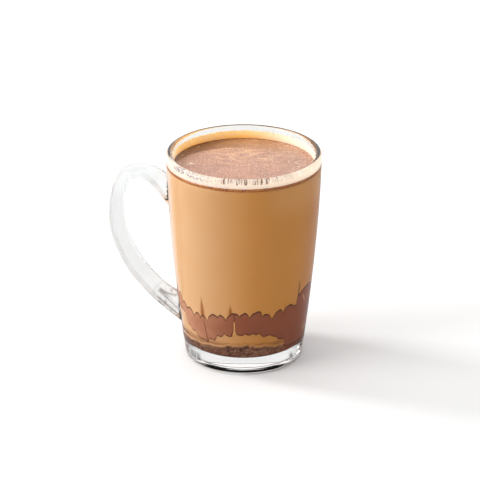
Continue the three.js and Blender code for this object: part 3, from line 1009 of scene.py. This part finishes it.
class MOCHA_OT_mug(bpy.types.Operator):
    """Adds the clear glass mug with its handle fused on."""
    bl_idname = "mocha.mug"
    bl_label = "Glass mug"

    def execute(self, context):
        form = Form()
        glass = glass_material()
        cup_bm = spun(mug_outline(form), 256)
        for vert in cup_bm.verts:
            radius = math.hypot(vert.co.x, vert.co.y)
            if vert.co.z < UNDERSIDE + 0.05 and RIB_RING[0] < radius < RIB_RING[1]:
                angle = math.atan2(vert.co.y, vert.co.x)
                vert.co.z -= RIB_DEPTH * abs(math.sin(angle * RIBS / 2))
        cup = finished(cup_bm, "mug", glass)
        handle = finished(handle_mesh(form), "handle", glass)
        half_wall = rows(0, form.height, lambda z: form.outer(z) - form.wall / 2, 24)
        stop = finished(spun([(0, -1), *half_wall, (0, form.height)], 128), "stop", glass)
        applied(handle, [("BOOLEAN", {"operation": "DIFFERENCE", "object": stop, "solver": "EXACT"})])
        applied(cup, [("BOOLEAN", {"operation": "UNION", "object": handle, "solver": "EXACT"})])
        for spare in (handle, stop):
            bpy.data.objects.remove(spare)
        self.soften_root(cup, form)
        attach(cup, "root")
        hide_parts("glass_mug")
        return {"FINISHED"}

    def soften_root(self, cup, form):
        """Rounds the inner corner where the handle leaves the wall."""
        bm = bmesh.new()
        bm.from_mesh(cup.data)
        bmesh.ops.remove_doubles(bm, verts=bm.verts, dist=1e-6)
        corner = [edge for edge in bm.edges if len(edge.link_faces) == 2 and self.at_root(edge, form)]
        near = {vert for edge in corner for vert in edge.verts}
        for _ in range(2):
            near |= {edge.other_vert(vert) for vert in list(near) for edge in vert.link_edges}
        for _ in range(4):
            bmesh.ops.smooth_vert(bm, verts=list(near), factor=0.5, use_axis_x=True, use_axis_y=True,
                                  use_axis_z=True)
        bm.to_mesh(cup.data)
        bm.free()
        for polygon in cup.data.polygons:
            polygon.use_smooth = True

    def at_root(self, edge, form):
        """Whether an edge is a sharp one on the wall's outside, beside the handle."""
        middle = (edge.verts[0].co + edge.verts[1].co) / 2 / MM
        radius = math.hypot(middle.x, middle.y)
        on_wall = abs(radius - form.outer(min(max(middle.z, 0), form.height))) < 0.15
        return (middle.x < -30 and abs(middle.y) < 8 and 12 < middle.z < 110 and on_wall
                and edge.calc_face_angle(0) > math.radians(20))


# The drink

class MOCHA_OT_sediment(bpy.types.Operator):
    """Adds the dark syrup that has settled on the floor of the glass."""
    bl_idname = "mocha.sediment"
    bl_label = "Sediment"

    def execute(self, context):
        form = Form()
        foot = form.floor + 0.06
        top = calm(sediment_top, context.scene.mocha_drink.sediment / MM)
        bm = layer(form, lambda bearing, share: foot, top, reach=0.12, side_rows=26, face_rings=6, ease=2)
        piece = finished(bm, "sediment", sediment_material())
        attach(piece, "root")
        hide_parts("chocolate_sediment")
        return {"FINISHED"}


class MOCHA_OT_lower_latte(bpy.types.Operator):
    """Adds the pale lens of latte under the chocolate band."""
    bl_idname = "mocha.lower_latte"
    bl_label = "Lower latte"

    def execute(self, context):
        overlap = 0.8
        foot = moved(calm(sediment_top, context.scene.mocha_drink.sediment / MM), -overlap)
        top = calm(lambda bearing: max(band_foot(bearing), sediment_top(bearing)), BAND_FOOT_MIDDLE)
        bm = layer(Form(), foot, moved(top, overlap), reach=0.06, side_rows=6, face_rings=4)
        piece = finished(bm, "latte_lens", latte_material())
        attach(piece, "root")
        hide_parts("lower_latte")
        return {"FINISHED"}


class MOCHA_OT_band(bpy.types.Operator):
    """Adds the band of chocolate milk with its scalloped edges."""
    bl_idname = "mocha.band"
    bl_label = "Chocolate band"

    def execute(self, context):
        foot = calm(band_foot, BAND_FOOT_MIDDLE, start=0.8)
        top = calm(band_top, BAND_TOP_MIDDLE)
        bm = layer(Form(), foot, top, reach=0.2, side_rows=24, face_rings=6)
        piece = finished(bm, "scalloped_band", chocolate_material())
        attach(piece, "root")
        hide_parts("chocolate_band")
        return {"FINISHED"}


class MOCHA_OT_latte(bpy.types.Operator):
    """Adds the main body of milky coffee."""
    bl_idname = "mocha.latte"
    bl_label = "Latte"

    def execute(self, context):
        into_band = 2
        into_froth = 0.2
        foot = moved(calm(band_top, BAND_TOP_MIDDLE), -into_band)
        top = moved(froth_top, into_froth - context.scene.mocha_drink.froth / MM)
        bm = layer(Form(), foot, top, reach=0.1, side_rows=30, face_rings=4)
        piece = finished(bm, "milky_body", latte_material())
        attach(piece, "root")
        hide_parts("latte")
        return {"FINISHED"}


class MOCHA_OT_froth(bpy.types.Operator):
    """Adds the thin speckled froth on the surface, and its small bubbles."""
    bl_idname = "mocha.froth"
    bl_label = "Cocoa froth"

    def execute(self, context):
        drink = context.scene.mocha_drink
        foot = moved(froth_top, -drink.froth / MM)
        bm = layer(Form(), foot, self.top, reach=0.16, side_rows=3, face_rings=56, steps=480)
        piece = finished(bm, "froth", froth_material())
        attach(piece, "root")
        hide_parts("cocoa_froth")
        bubbles = finished(self.bubbles(drink), "froth_bubbles", bubble_material())
        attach(bubbles, "root")
        return {"FINISHED"}

    def top(self, bearing, share):
        """The froth's face with soft lumps, which die out at the glass."""
        angle = math.radians(bearing)
        point = Vector((share * math.sin(angle), -share * math.cos(angle), 0))
        swell = noise.noise(point * 5) * 0.12 + noise.noise(point * 22) * 0.05
        return froth_top(bearing, share) + swell * (1 - smooth(share, 0.9, 1))

    def bubbles(self, drink):
        """Small spheres set into the froth, most of them near the glass and at the right."""
        draw = random.Random(7)
        form = Form()
        sphere = bmesh.new()
        bmesh.ops.create_uvsphere(sphere, u_segments=10, v_segments=6, radius=1)
        corners = [vert.co.copy() for vert in sphere.verts]
        faces = [[vert.index for vert in face.verts] for face in sphere.faces]
        sphere.free()
        bm = bmesh.new()
        for _ in range(drink.bubbles):
            near_edge = draw.random() < 0.6
            bearing = draw.uniform(30, 150) if draw.random() < 0.5 else draw.uniform(-180, 180)
            share = draw.uniform(0.9, 0.985) if near_edge else math.sqrt(draw.uniform(0.0, 0.9))
            radius = draw.uniform(0.1, 0.25) + (0.3 * draw.random() ** 4 if near_edge else 0)
            z = self.top(bearing, share)
            flat = share * form.cavity(z)
            angle = math.radians(bearing)
            centre = Vector((flat * math.sin(angle), -flat * math.cos(angle), z - radius * 0.35))
            verts = [bm.verts.new(centre + corner * radius) for corner in corners]
            for face in faces:
                bm.faces.new([verts[i] for i in face])
        return bm


class MOCHA_OT_foam_ring(bpy.types.Operator):
    """Adds the film of milk foam that clings to the glass above the surface."""
    bl_idname = "mocha.foam_ring"
    bl_label = "Milk foam ring"

    def execute(self, context):
        form = Form()
        lip = form.wall / 2
        thickness = 0.5
        reach = 0.15
        heights = [i / 12 for i in range(13)]
        inner = 10
        outline = [(inner, height) for height in heights]
        outline += [(inner + 1, height) for height in reversed(heights)]
        bm = spun(outline, 480, closed=True)
        for vert in bm.verts:
            across = math.hypot(vert.co.x, vert.co.y) - inner
            bearing = math.degrees(math.atan2(vert.co.x, -vert.co.y))
            angle = math.radians(bearing)
            point = Vector((math.sin(angle), math.cos(angle), 0))
            ragged = noise.noise(point * 9) * 0.35 + noise.noise(point * 31) * 0.2
            z = lerp(froth_edge(bearing) - 0.3, foam_edge(bearing) + ragged, vert.co.z)
            taper = lerp(1, 0.35, vert.co.z)
            in_lip = min(max(z - form.height + lip, 0), lip)
            rounded = lip - math.sqrt(lip ** 2 - in_lip ** 2)
            radius = form.cavity(z) + rounded + reach - (1 - across) * (thickness * taper + reach)
            vert.co = (radius * math.sin(angle), -radius * math.cos(angle), z)
        bmesh.ops.recalc_face_normals(bm, faces=bm.faces)
        piece = finished(bm, "foam_film", foam_material())
        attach(piece, "root")
        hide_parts("milk_foam_ring")
        return {"FINISHED"}


class MOCHA_PT_panel(bpy.types.Panel):
    """Lists the pieces of the mocha."""
    bl_idname = "MOCHA_PT_panel"
    bl_label = "Mocha"
    bl_space_type = "VIEW_3D"
    bl_region_type = "UI"
    bl_category = "Mocha"

    def draw(self, context):
        for name in BUILD_ORDER:
            self.layout.operator(f"mocha.{name}")


BUILD_ORDER = ["stage", "mug", "sediment", "lower_latte", "band", "latte", "froth", "foam_ring"]

CLASSES = [
    MochaMug,
    MochaDrink,
    MochaStage,
    MOCHA_OT_stage,
    MOCHA_OT_mug,
    MOCHA_OT_sediment,
    MOCHA_OT_lower_latte,
    MOCHA_OT_band,
    MOCHA_OT_latte,
    MOCHA_OT_froth,
    MOCHA_OT_foam_ring,
    MOCHA_PT_panel,
]


def register():
    for item in CLASSES:
        bpy.utils.register_class(item)
    bpy.types.Scene.mocha_mug = PointerProperty(type=MochaMug)
    bpy.types.Scene.mocha_drink = PointerProperty(type=MochaDrink)
    bpy.types.Scene.mocha_stage = PointerProperty(type=MochaStage)


def unregister():
    del bpy.types.Scene.mocha_stage
    del bpy.types.Scene.mocha_drink
    del bpy.types.Scene.mocha_mug
    for item in reversed(CLASSES):
        bpy.utils.unregister_class(item)


def main():
    register()
    for name in BUILD_ORDER:
        getattr(bpy.ops.mocha, name)()


if __name__ == "__main__":
    main()
